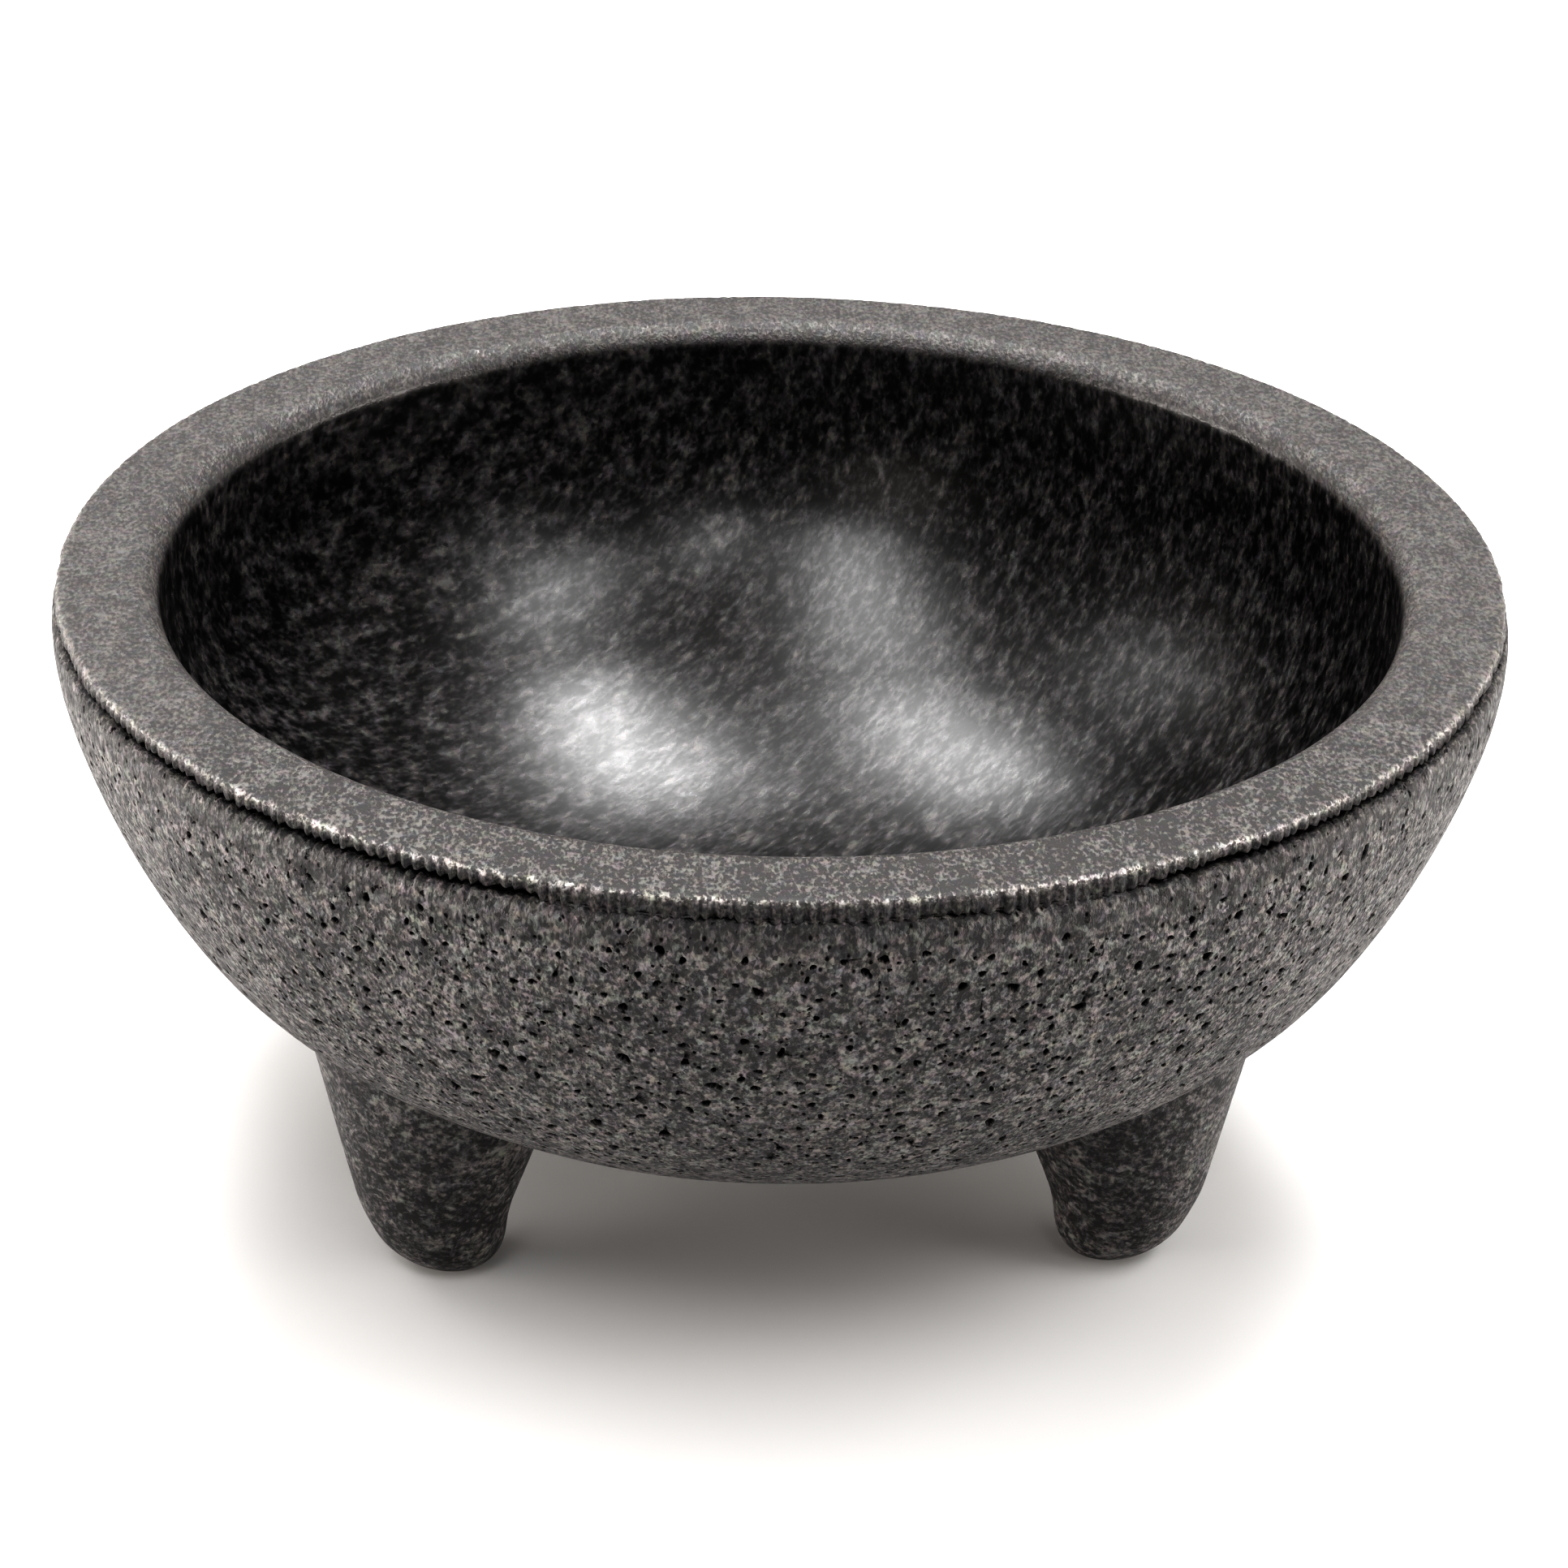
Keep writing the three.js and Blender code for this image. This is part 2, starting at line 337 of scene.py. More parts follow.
def notches(theta, shift=0.0):
    """The row of notches along the mould line, about 1.35 mm apart: 0 between them, 1 in them."""
    ring = np.stack([RIM_R * np.cos(theta), RIM_R * np.sin(theta), 0 * theta], 1)
    beat = 376 * theta + 7.0 * fbm(ring, 3.2, 2, seed=43.0) + shift
    return (0.5 + 0.5 * np.cos(beat)) * np.clip(0.75 + 1.1 * fbm(ring, 3.0, 2, seed=46.0), 0.15, 1.3)


def build_shell():
    rng = np.random.default_rng(20739)
    s_edge = float(np.interp(HEIGHT - 4.45, CURVE[:, 1][CURVE[:, 1] > 40], CURVE_S[CURVE[:, 1] > 40]))
    N = 768
    sites, nb, ns = pit_sites(rng, 2500, 1100, s_edge - 0.25)
    print("pits", nb, ns)
    U, S, D, PIT = [], [], [], []  # theta, s, depth, pit mask
    rings_big = [(1.0, 9, 0.0, 0.0), (0.84, 8, 0.52, 1.0), (0.42, 4, 0.96, 1.0)]
    rings_small = [(1.0, 6, 0.0, 0.0), (0.74, 4, 0.85, 1.0)]
    ties, n_pts = [], N
    for th, s, la, lb, turn, dep, kind in sites:
        r0 = float(np.interp(s, CURVE_S, CURVE[:, 0]))
        ct, st = math.cos(turn), math.sin(turn)
        h2, h3 = rng.uniform(0, 2 * np.pi, 2)
        a2, a3 = rng.uniform(0.06, 0.26), rng.uniform(0.06, 0.22)
        lean = rng.uniform(-0.18, 0.18, 2)
        for k, n, d, m in (rings_big if kind == 0 else rings_small):
            ph = np.arange(n) / n * 2 * np.pi + (0.35 if k < 0.9 else 0.0)
            shape = 1 + a2 * np.cos(2 * ph + h2) + a3 * np.cos(3 * ph + h3)
            x = k * la * np.cos(ph) * shape
            y = k * lb * np.sin(ph) * shape
            if k < 0.9:
                far = 1.0 if k < 0.6 else 0.25
                x, y = x + lean[0] * la * far, y + lean[1] * lb * far
            du, dv = x * ct - y * st, x * st + y * ct
            U.append(th + du / max(r0, 1.0))
            S.append(s + dv)
            D.append(np.full(n, d * dep))
            PIT.append(np.full(n, m))
            if k == 1.0:
                ties += [(n_pts + i, n_pts + (i + 1) % n) for i in range(n)]
            n_pts += n
        if kind == 0:
            n_pts += 1
            U.append([th + (lean[0] * la * ct - lean[1] * lb * st) / r0])
            S.append([s + lean[0] * la * st + lean[1] * lb * ct])
            D.append([dep])
            PIT.append([1.0])
    U, S, D, PIT = map(np.concatenate, (U, S, D, PIT))
    # plain surface between the pits
    ring_s = np.arange(1.6, s_edge - 1.2, 2.05)
    bu, bs = [np.zeros(1)], [np.zeros(1)]
    for i, s in enumerate(ring_s):
        r0 = float(np.interp(s, CURVE_S, CURVE[:, 0]))
        n = max(6, int(round(2 * np.pi * r0 / 2.2)))
        t = (np.arange(n) + 0.5 * (i % 2)) / n * 2 * np.pi + rng.uniform(-0.2, 0.2, n) / max(r0, 2)
        bu.append(t)
        bs.append(np.full(n, s) + rng.uniform(-0.25, 0.25, n))
    bu, bs = np.concatenate(bu), np.concatenate(bs)
    B = on_shell(bu, bs)
    C = on_shell(sites[:, 0], sites[:, 1])
    reach = sites[:, 2] * 1.50 + 0.2
    cell = 3.0
    index = {}
    for i, c in enumerate(C):
        index.setdefault(tuple((c // cell).astype(int)), []).append(i)
    keep = np.ones(len(B), bool)
    for j, b in enumerate(B):
        k0 = (b // cell).astype(int)
        for dx in (-1, 0, 1):
            for dy in (-1, 0, 1):
                for dz in (-1, 0, 1):
                    for i in index.get((k0[0] + dx, k0[1] + dy, k0[2] + dz), ()):
                        d = C[i] - b
                        if d @ d < reach[i] ** 2:
                            keep[j] = False
    bu, bs = bu[keep], bs[keep]
    et = np.arange(N) / N * 2 * np.pi
    U = np.r_[et, U, bu]
    S = np.r_[np.full(N, s_edge), S, bs]
    D = np.r_[np.zeros(N), D, np.zeros(len(bu))]
    PIT = np.r_[np.zeros(N), PIT, np.zeros(len(bu))]
    pts2 = [Vector((s * math.cos(u), s * math.sin(u))) for u, s in zip(U, S)]
    res = delaunay_2d_cdt(pts2, ties, [], 0, 1e-7)
    v2, tri, orig = res[0], res[2], res[3]
    first = np.array([o[0] if len(o) else -1 for o in orig])
    assert (first >= 0).all()
    U, S, D, PIT = U[first], S[first], D[first], PIT[first]
    skin = on_shell(U, S)
    # slow hand-made unevenness of the surface, always inwards
    wave = 0.10 + 0.10 * fbm(skin, 22.0, 3, seed=11.0)
    fade = 1 - smooth01(S, s_edge - 6.0, s_edge)
    skin = on_shell(U, S, D + np.clip(wave, 0, 0.25) * fade)
    faces = [tuple(t) for t in tri]
    # every face looks outwards
    T = np.array(faces)
    n = np.cross(skin[T[:, 1]] - skin[T[:, 0]], skin[T[:, 2]] - skin[T[:, 0]])
    mid = skin[T].mean(1)
    out = mid - np.array([0, 0, 60.0])
    flip = (n * out).sum(1) < 0
    T[flip] = T[flip][:, ::-1]
    faces = [tuple(t) for t in T]
    # boundary ring, in order
    edge_ids = np.array([int(np.flatnonzero(first == i)[0]) for i in range(N)]) if N < 2000 else None

    R = Rings()
    R.verts.append(skin)
    R.count = len(skin)
    R.faces = list(faces)
    R.prev = edge_ids
    # the rounded top edge, the rebate and the plain inside
    fine_n = 2 * N
    theta = np.arange(fine_n) / fine_n * 2 * np.pi
    top_pts = ([(80.99, HEIGHT - 4.2), (80.95, HEIGHT - 3.8)]
               + arc(79.95, SHELL_TOP - 0.40, 0.95, 8, 90, 5)
               + [(79.4, SHELL_TOP + 0.52), (78.6, SHELL_TOP + 0.15)])
    for k, (r, z) in enumerate(top_pts):
        ring = np.stack([np.cos(theta) * r, np.sin(theta) * r, np.full(fine_n, z)], 1)
        # the moulded edge is a little ragged, with a row of fine notches
        amt = float(smooth01(z, HEIGHT - 4.0, SHELL_TOP + 0.2))
        w = fbm(ring, 1.1, 2, seed=21.0) * 0.10 + fbm(ring, 5.0, 2, seed=22.0) * 0.16 + 0.42 * notches(theta, 1.9)
        ring[:, 2] -= np.clip(0.02 + w, -0.02, 0.6) * amt
        scale = 1 - np.clip(0.03 + fbm(ring, 1.6, 2, seed=23.0) * 0.12 + 0.25 * notches(theta, 1.9), 0, 0.5) * amt / r
        ring[:, :2] *= scale[:, None]
        R.ring(ring)
    R.ring(circle(TONGUE_OUT + 0.3, SHELL_TOP - 0.15, 192))
    R.ring(circle(TONGUE_OUT + 0.3, SHELL_TOP - 0.6, 96))
    R.ring(circle(TONGUE_OUT + 0.3, TONGUE_Z - 0.3, 96))
    R.ring(circle(TONGUE_IN - 0.3, TONGUE_Z - 0.3, 96))
    R.ring(circle(TONGUE_IN - 0.3, TONGUE_Z - 1.9, 96))
    z_in = [60.0, 52.0, 45.0, 39.0, 35.0, 31.5, 28.5, 26.5, 25.0]
    lo = CURVE_S < s_edge
    for z in z_in:
        s = float(np.interp(z, CURVE[lo, 1], CURVE_S[lo]))
        p = on_shell(np.zeros(1), np.array([s]), SHELL_WALL)[0]
        R.ring(circle(p[0], p[2], 96))
    R.ring(circle(23.0, SHELL_FLOOR + SHELL_WALL, 48))
    R.ring([[0, 0, SHELL_FLOOR + SHELL_WALL]])
    V = np.concatenate(R.verts)
    pit = np.zeros(len(V))
    pit[: len(PIT)] = PIT
    ob = add_mesh("shell_skin", V, R.faces, {"pit": pit})
    outward(ob)
    # round each pit the smooth surface keeps its own normal, so that the pit has a crisp edge
    me = ob.data
    normals = np.zeros(len(me.vertices) * 3, np.float32)
    me.vertex_normals.foreach_get("vector", normals)
    normals = normals.reshape(-1, 3)
    co = np.zeros(len(me.vertices) * 3, np.float32)
    me.vertices.foreach_get("co", co)
    co = co.reshape(-1, 3)
    flat = np.flatnonzero(D == 0)
    assert np.abs(co[: len(D)] / MM - V[: len(D)]).max() < 1e-3
    nr = np.interp(S, CURVE_S, CURVE_N[:, 0])
    nz = np.interp(S, CURVE_S, CURVE_N[:, 1])
    smooth_n = np.stack([nr * np.cos(U), nr * np.sin(U), nz], 1)
    flat = flat[(S[flat] < s_edge - 2.0)]
    normals[flat] = smooth_n[flat]
    me.normals_split_custom_set_from_vertices(normals.tolist())
    return ob


# --------------------------------------------------------------------------
# Bowl liner with its rim
# --------------------------------------------------------------------------
def build_liner():
    R = Rings()
    e = 2 / INNER_POWER
    mouth = HEIGHT - INNER_ROUND
    N_IN, N_RIM = 384, 1536
    # inside, from the middle up
    fine = []
    for i in range(1200):
        t = i / 1199 * (np.pi / 2)
        fine.append((INNER_R * math.sin(t) ** e, mouth - (mouth - INNER_FLOOR) * math.cos(t) ** e))
    fine, s = resample(fine, 0.05)
    s_tot = s[-1]
    stations = np.r_[np.array([1.0, 2.0, 3.2, 4.6]), np.linspace(6.2, s_tot - 0.4, 68)]
    R.ring([[0, 0, INNER_FLOOR]])
    mask, along = [np.zeros(1)], [np.zeros(1)]

    def put(r, z, n, m, a):
        R.ring(circle(r, z, n))
        mask.append(np.full(n, m))
        along.append(np.full(n, a))

    for st in stations:
        r, z = np.interp(st, s, fine[:, 0]), np.interp(st, s, fine[:, 1])
        n = 24 if st < 1.5 else 48 if st < 2.5 else 96 if st < 4 else 192 if st < 6 else N_IN
        put(r, z, n, 0.0, st)
    a = s_tot
    # mouth rounding, flat of the rim, lip
    prof = arc(INNER_R + INNER_ROUND, mouth, INNER_ROUND, 180, 90, 9)
    flat = [(r, HEIGHT) for r in np.linspace(INNER_R + INNER_ROUND, RIM_R - 0.9, 9)[1:-1]]
    lip = arc(RIM_R - 0.9, HEIGHT - 0.9, 0.9, 90, -40, 12)
    under = [(79.95, HEIGHT - 1.56), (79.6, HEIGHT - 1.64), (GROOVE_R + 0.05, HEIGHT - 1.78), (GROOVE_R, RIM_UNDER + 0.05)]
    last = np.array(prof[0])
    for k, (r, z) in enumerate(prof + flat + lip + under):
        a += float(np.hypot(r - last[0], z - last[1]))
        last = np.array((r, z))
        n = N_IN if k == 0 else N_RIM
        m = 1.0 if k < len(prof) + len(flat) else (2.0 if k < len(prof) + len(flat) + len(lip) else 3.0)
        put(r, z, n, m, a)
    n_seen = R.count
    # hidden: tongue ring and back of the liner
    for r, z, n in ((78.4, RIM_UNDER, 384), (TONGUE_OUT, RIM_UNDER, 96), (TONGUE_OUT, TONGUE_Z + 0.4, 96),
                    (TONGUE_OUT - 0.4, TONGUE_Z, 96), (TONGUE_IN, TONGUE_Z, 96), (TONGUE_IN, RIM_UNDER - 0.5, 96),
                    (INNER_R + LINER_WALL + 0.6, RIM_UNDER - 0.5, 96)):
        put(r, z, n, 4.0, a)
    back = []
    for q in np.linspace(s_tot - 3.0, 6.0, 12):
        r, z = np.interp(q, s, fine[:, 0]), np.interp(q, s, fine[:, 1])
        r1, z1 = np.interp(q + 0.5, s, fine[:, 0]), np.interp(q + 0.5, s, fine[:, 1])
        t = np.array([r1 - r, z1 - z])
        t /= np.linalg.norm(t)
        back.append((r + t[1] * LINER_WALL, z - t[0] * LINER_WALL))
    for r, z in back:
        put(r, z, 96, 4.0, a)
    put(3.0, INNER_FLOOR - LINER_WALL, 24, 4.0, a)
    R.ring([[0, 0, INNER_FLOOR - LINER_WALL]])
    mask.append(np.full(1, 4.0))
    along.append(np.full(1, a))
    V = np.concatenate(R.verts)
    mask, along = np.concatenate(mask), np.concatenate(along)

    # relief: slow waves inside, a slightly uneven rim, nicks along the lip
    rad = np.hypot(V[:, 0], V[:, 1])
    th = np.arctan2(V[:, 1], V[:, 0])
    er = np.stack([np.cos(th), np.sin(th), 0 * th], 1)
    inner = mask == 0
    if inner.any():
        P = V[inner]
        c, sn = math.cos(math.radians(FLOW_AZ)), math.sin(math.radians(FLOW_AZ))
        flow = np.stack([(P[:, 0] * c + P[:, 1] * sn) / 5.0, (-P[:, 0] * sn + P[:, 1] * c), P[:, 2] * 0.25], 1)
        w = 0.035 * fbm(flow, 5.0, 3, seed=31.0) + 0.05 * fbm(P, 18.0, 2, seed=32.0)
        w *= smooth01(along[inner], 0.5, 6.0) * (1 - smooth01(along[inner], s_tot - 5.0, s_tot))
        t = np.gradient(fine, s, axis=0)
        nr = -np.interp(along[inner], s, t[:, 1])
        nz = np.interp(along[inner], s, t[:, 0])
        V[inner] += (er[inner] * nr[:, None] + np.array([0, 0, 1.0]) * nz[:, None]) * w[:, None]
    top = (mask >= 1) & (mask < 4)
    P = V[top].copy()
    pr, pt, pm = rad[top], th[top], mask[top]
    lipness = smooth01(pr, RIM_R - 2.0, RIM_R - 0.5)
    low = smooth01(HEIGHT - P[:, 2], 0.6, 1.4) * (pr > RIM_R - 2.5)  # the lower half of the lip
    slow = 0.05 * (fbm(P, 14.0, 2, seed=41.0) + 0.6)
    fine_w = 0.035 * (fbm(P, 1.3, 2, seed=42.0) + 0.5)
    # fine notches where the two mouldings meet
    ring = np.stack([RIM_R * np.cos(pt), RIM_R * np.sin(pt), 0 * pt], 1)
    teeth = notches(pt)
    nick = fbm(ring, 0.7, 2, seed=47.0)
    coarse = fbm(ring, 7.0, 2, seed=45.0)
    down = np.clip(slow, 0, 0.12) + np.clip(fine_w, 0, 0.1) * (0.3 + 0.7 * lipness)
    down = down * smooth01(P[:, 2], HEIGHT - INNER_ROUND, HEIGHT - 0.8)
    down += low * (0.50 * teeth + 0.20 * coarse - 0.08)
    down += 0.10 * np.clip(nick + 0.1, 0, 1) * smooth01(pr, RIM_R - 1.0, RIM_R - 0.4)
    inwards = lipness * (np.clip(0.05 + 0.05 * fbm(P, 9.0, 2, seed=44.0), 0, 0.2) + np.clip(nick, 0, 1) * 0.22)
    inwards += smooth01(HEIGHT - P[:, 2], 0.12, 0.55) * (pr > RIM_R - 2.5) * np.clip(1 - teeth, 0, 1) ** 2 * 0.42
    # the groove is open at the sides and all but closed at the front and the back
    front = smooth01(-np.cos(2 * pt) + 0.35 * coarse, 0.62, 0.96)
    wall = pm == 3.0
    inwards[wall] = -(np.maximum(80.30 - pr[wall], 0) * front[wall])
    down[wall] = (P[wall, 2] - (SHELL_TOP + 0.60)) * front[wall] + 0.30 * teeth[wall] * (1 - front[wall])
    down[~wall] += (low * (1.25 + 0.5 * nick + 0.4 * coarse) * front)[~wall]
    V[top, 2] -= down
    zone = mask.copy()
    shut = np.zeros(len(V))
    shut[top] = front
    # the groove's painted shade fades where the groove is shut
    zone[mask == 3] -= 0.8 * shut[mask == 3]
    V[top] -= er[top] * inwards[:, None]
    over = np.hypot(V[:, 0], V[:, 1]) > RIM_R
    V[over, :2] *= (RIM_R / np.hypot(V[over, 0], V[over, 1]))[:, None]
    V[:, 2] = np.minimum(V[:, 2], HEIGHT)
    # painted highlight along the outer edge of the lip, bright in short stretches and strongest on the near side, where
    # the edge is also glossier; the inner edge is only made a little glossier
    turn = np.degrees(np.arctan2(P[:, 2] - (HEIGHT - 0.9), pr - (RIM_R - 0.9)))
    outer = (pr > RIM_R - 1.0) & (pm < 3)
    toward = smooth01(-np.sin(pt), 0.15, 0.75)
    painted_glint = np.zeros(len(V))
    painted_glint[top] = np.where(outer, np.exp(-(((turn - 50) / 24) ** 2)) * np.clip(0.62 + 1.2 * fbm(ring, 1.4, 3, seed=48.0), 0, 1)
                         * (0.25 + 0.75 * toward), 0.0)
    # painted shade on the lip's side below its rounded edge, strongest on the near side
    side = np.zeros(len(V))
    side[top] = np.where(outer | (pm >= 3), 1 - smooth01(turn, 2, 28), 0.0) * (0.30 + 0.70 * toward)
    mouth_edge = np.where((mask >= 1) & (rad < INNER_R + INNER_ROUND + 0.1),
                          smooth01(rad, INNER_R + 0.2, INNER_R + 1.2) * (1 - smooth01(rad, INNER_R + 2.2, INNER_R + 3.0)), 0.0)
    return add_mesh("liner_and_rim", V, R.faces, {"zone": zone, "painted_glint": painted_glint, "side": side, "mouth": mouth_edge})


# direction, in plan, in which the material flowed in the mould
FLOW_AZ = 45.0


# --------------------------------------------------------------------------
# Legs
# --------------------------------------------------------------------------
def shell_depth(points):
    """How far points lie inside the shell's smooth outside (positive inside), along its normal, roughly."""
    r = np.hypot(points[:, 0], points[:, 1])
    z = points[:, 2]
    zz = np.interp(r, CURVE[:, 0][CURVE[:, 1] < 60], CURVE[:, 1][CURVE[:, 1] < 60])
    nz = np.interp(r, CURVE[:, 0][CURVE[:, 1] < 60], CURVE_N[:, 1][CURVE[:, 1] < 60])
    return (z - zz) * np.abs(nz)


def build_leg(name, seed):
    m = LEG_AXIS[name]
    half = math.radians(LEG_HALF)
    tip_z = LEG_TIP_R - LEG_FLAT
    cone_z = tip_z - LEG_TIP_R * math.sin(half)
    cone_r = LEG_TIP_R * math.cos(half)
    N = 144
    R = Rings()
    prof = [(0.0, tip_z - LEG_TIP_R)]
    prof += [(LEG_TIP_R * math.cos(t), tip_z + LEG_TIP_R * math.sin(t)) for t in np.radians(np.linspace(-84, -LEG_HALF, 20))]
    top = 42.0
    nz = 74
    prof += [(cone_r + (z - cone_z) * math.tan(half), z) for z in np.linspace(cone_z, top, nz)[1:]]
    th = np.arange(N) / N * 2 * np.pi
    rows = []
    for k, (r, z) in enumerate(prof):
        if k == 0:
            P = np.array([[0.0, 0.0, z]])
        else:
            P = np.stack([r * np.cos(th), r * np.sin(th), np.full(N, z)], 1)
        share = np.clip(1 - P[:, 2] / TIP_SHIFT_TO, 0, None) ** 1.6
        P[:, 0] -= TIP_SHIFT * share
        rows.append(P)
    # into the row frame
    rows = [np.c_[P, np.ones(len(P))] @ m.T for P in rows]
    rows = [P[:, :3] for P in rows]
    # the root ends inside the shell's wall: each column stops there
    sunk = 1.1
    body = np.stack(rows[1:])  # rows, columns, xyz
    cut = np.zeros_like(body)
    depth = np.stack([shell_depth(P) for P in body])
    n_rows = len(body)
    for c in range(N):
        d = depth[:, c]
        inside = np.flatnonzero(d > sunk)
        last = inside[0] if len(inside) else n_rows - 1
        # where the column crosses that depth
        d0, d1 = d[last - 1], d[last]
        f = np.clip((sunk - d0) / max(d1 - d0, 1e-6), 0, 1)
        t_end = last - 1 + f
        # the tip rows stay, and the rest spread evenly up to the end
        tip_rows = 22
        pos = np.r_[np.arange(tip_rows), np.linspace(tip_rows, t_end, n_rows - tip_rows)]
        for ax in range(3):
            cut[:, c, ax] = np.interp(pos, np.arange(n_rows), body[:, c, ax])
    # slow unevenness and a few shallow pits, inwards only
    P = cut.reshape(-1, 3)
    centre = (np.c_[np.zeros((n_rows, 2)), np.array([q[1] for q in prof[1:]])])
    axis_dir = m[:3, 2]
    base = m[:3, 3]
    rel = P - base
    along = rel @ axis_dir
    radial = rel - along[:, None] * axis_dir
    rl = np.linalg.norm(radial, axis=1)
    rn = radial / np.maximum(rl, 1e-6)[:, None]
    w = np.clip(0.10 + 0.12 * fbm(P, 9.0, 3, seed=seed), 0, 0.3)
    w += 0.25 * np.clip(fbm(P, 1.5, 2, seed=seed + 1) - 0.22, 0, 1)
    w *= smooth01(along, 2.0, 7.0)
    P = P - rn * w[:, None]
    P[:, 2] = np.maximum(P[:, 2], 0.0)
    cut = P.reshape(n_rows, N, 3)
    tipP = rows[0].copy()
    tipP[:, 2] = 0.0
    R.ring(tipP)
    for k in range(n_rows):
        R.ring(cut[k])
    # close the root inside the wall of the shell
    c = cut[-1].mean(0)
    for f in (0.66, 0.33):
        q = c + (cut[-1] - c) * f
        r = np.hypot(q[:, 0], q[:, 1])
        low = CURVE[:, 1] < 60
        q[:, 2] = np.interp(r, CURVE[low, 0], CURVE[low, 1]) + sunk / 0.9
        R.ring(q)
    q = c.copy()
    q[2] = np.interp(math.hypot(q[0], q[1]), CURVE[low, 0], CURVE[low, 1]) + sunk / 0.9
    R.ring([q])
    V = np.concatenate(R.verts)
    return add_mesh(name + "_skin", V, R.faces)


# --------------------------------------------------------------------------
# Materials
# --------------------------------------------------------------------------
class Nodes:
    def __init__(self, name):
        self.mat = bpy.data.materials.new(name)
        self.mat.use_nodes = True
        self.t = self.mat.node_tree
        self.t.nodes.clear()

    def n(self, kind, **kw):
        node = self.t.nodes.new(kind)
        for k, v in kw.items():
            setattr(node, k, v)
        return node

    def link(self, a, b):
        self.t.links.new(a, b)

    def put(self, socket, v):
        if isinstance(v, bpy.types.NodeSocket):
            self.link(v, socket)
        else:
            socket.default_value = v

    def math(self, op, a, b=0.0, c=None, clamp=False):
        m = self.n("ShaderNodeMath", operation=op, use_clamp=clamp)
        self.put(m.inputs[0], a)
        self.put(m.inputs[1], b)
        if c is not None:
            self.put(m.inputs[2], c)
        return m.outputs[0]

    def vmath(self, op, a, b):
        m = self.n("ShaderNodeVectorMath", operation=op)
        self.put(m.inputs[0], a)
        self.put(m.inputs[1], b)
        return m.outputs[0]

    def noise(self, vec, scale, detail=2.0, rough=0.5, dist=0.0):
        m = self.n("ShaderNodeTexNoise", noise_dimensions="3D")
        self.put(m.inputs["Vector"], vec)
        m.inputs["Scale"].default_value = scale
        m.inputs["Detail"].default_value = detail
        m.inputs["Roughness"].default_value = rough
        m.inputs["Distortion"].default_value = dist
        return m.outputs["Fac"]

    def noise_col(self, vec, scale, detail=2.0):
        m = self.n("ShaderNodeTexNoise", noise_dimensions="3D")
        self.put(m.inputs["Vector"], vec)
        m.inputs["Scale"].default_value = scale
        m.inputs["Detail"].default_value = detail
        return m.outputs["Color"]

    def voronoi(self, vec, scale, feature="F1", rand=1.0):
        m = self.n("ShaderNodeTexVoronoi", voronoi_dimensions="3D", feature=feature)
        self.put(m.inputs["Vector"], vec)
        m.inputs["Scale"].default_value = scale
        m.inputs["Randomness"].default_value = rand
        return m.outputs

    def remap(self, v, a, b, c=0.0, d=1.0, smooth=False):
        m = self.n("ShaderNodeMapRange", clamp=True)
        m.interpolation_type = "SMOOTHSTEP" if smooth else "LINEAR"
        self.put(m.inputs["Value"], v)
        m.inputs["From Min"].default_value = a
        m.inputs["From Max"].default_value = b
        m.inputs["To Min"].default_value = c
        m.inputs["To Max"].default_value = d
        return m.outputs["Result"]

    def mix(self, f, a, b):
        m = self.n("ShaderNodeMix", data_type="RGBA")
        self.put(m.inputs[0], f)
        self.put(m.inputs[6], a)
        self.put(m.inputs[7], b)
        return m.outputs[2]

    def mixf(self, f, a, b):
        m = self.n("ShaderNodeMix", data_type="FLOAT")
        self.put(m.inputs[0], f)
        self.put(m.inputs[2], a)
        self.put(m.inputs[3], b)
        return m.outputs[0]

    def grey(self, v, tint=(1.0, 1.0, 1.0)):
        """A grey of that brightness, slightly tinted."""
        c = self.n("ShaderNodeCombineColor")
        for i in range(3):
            self.put(c.inputs[i], self.math("MULTIPLY", v, tint[i]) if tint[i] != 1.0 else v)
        return c.outputs[0]

    def coords(self):
        return self.n("ShaderNodeTexCoord").outputs["Object"]

    def attr(self, name):
        return self.n("ShaderNodeAttribute", attribute_name=name, attribute_type="GEOMETRY").outputs["Fac"]

    def bump(self, height, distance, strength=1.0, normal=None):
        b = self.n("ShaderNodeBump")
        b.inputs["Strength"].default_value = strength
        b.inputs["Distance"].default_value = distance
        self.put(b.inputs["Height"], height)
        if normal is not None:
            self.link(normal, b.inputs["Normal"])
        return b.outputs[0]

    def finish(self, colour, rough, normal, spec=0.5):
        p = self.n("ShaderNodeBsdfPrincipled")
        self.put(p.inputs["Base Color"], colour)
        self.put(p.inputs["Roughness"], rough)
        self.link(normal, p.inputs["Normal"])
        self.put(p.inputs["Specular IOR Level"], spec)
        p.inputs["IOR"].default_value = 1.49
        o = self.n("ShaderNodeOutputMaterial")
        self.link(p.outputs[0], o.inputs[0])
        return self.mat


def flow_coords(N, length, width, up):
    """Coordinates stretched along the flow: one unit is length mm along it, width mm across it and up mm in height."""
    c = N.coords()
    m = N.n("ShaderNodeMapping", vector_type="POINT")
    m.inputs["Rotation"].default_value = (0, 0, -math.radians(FLOW_AZ))
    N.link(c, m.inputs["Vector"])
    s = N.n("ShaderNodeVectorMath", operation="MULTIPLY")
    N.link(m.outputs[0], s.inputs[0])
    s.inputs[1].default_value = (1000.0 / length, 1000.0 / width, 1000.0 / up)
    return s.outputs[0]


def grains(N, vec, scale):
    """A random value for each small grain."""
    m = N.n("ShaderNodeTexVoronoi", voronoi_dimensions="3D", feature="F1")
    N.put(m.inputs["Vector"], vec)
    m.inputs["Scale"].default_value = scale
    sp = N.n("ShaderNodeSeparateColor")
    N.link(m.outputs["Color"], sp.inputs[0])
    return sp.outputs[0], sp.outputs[1], m.outputs["Distance"]


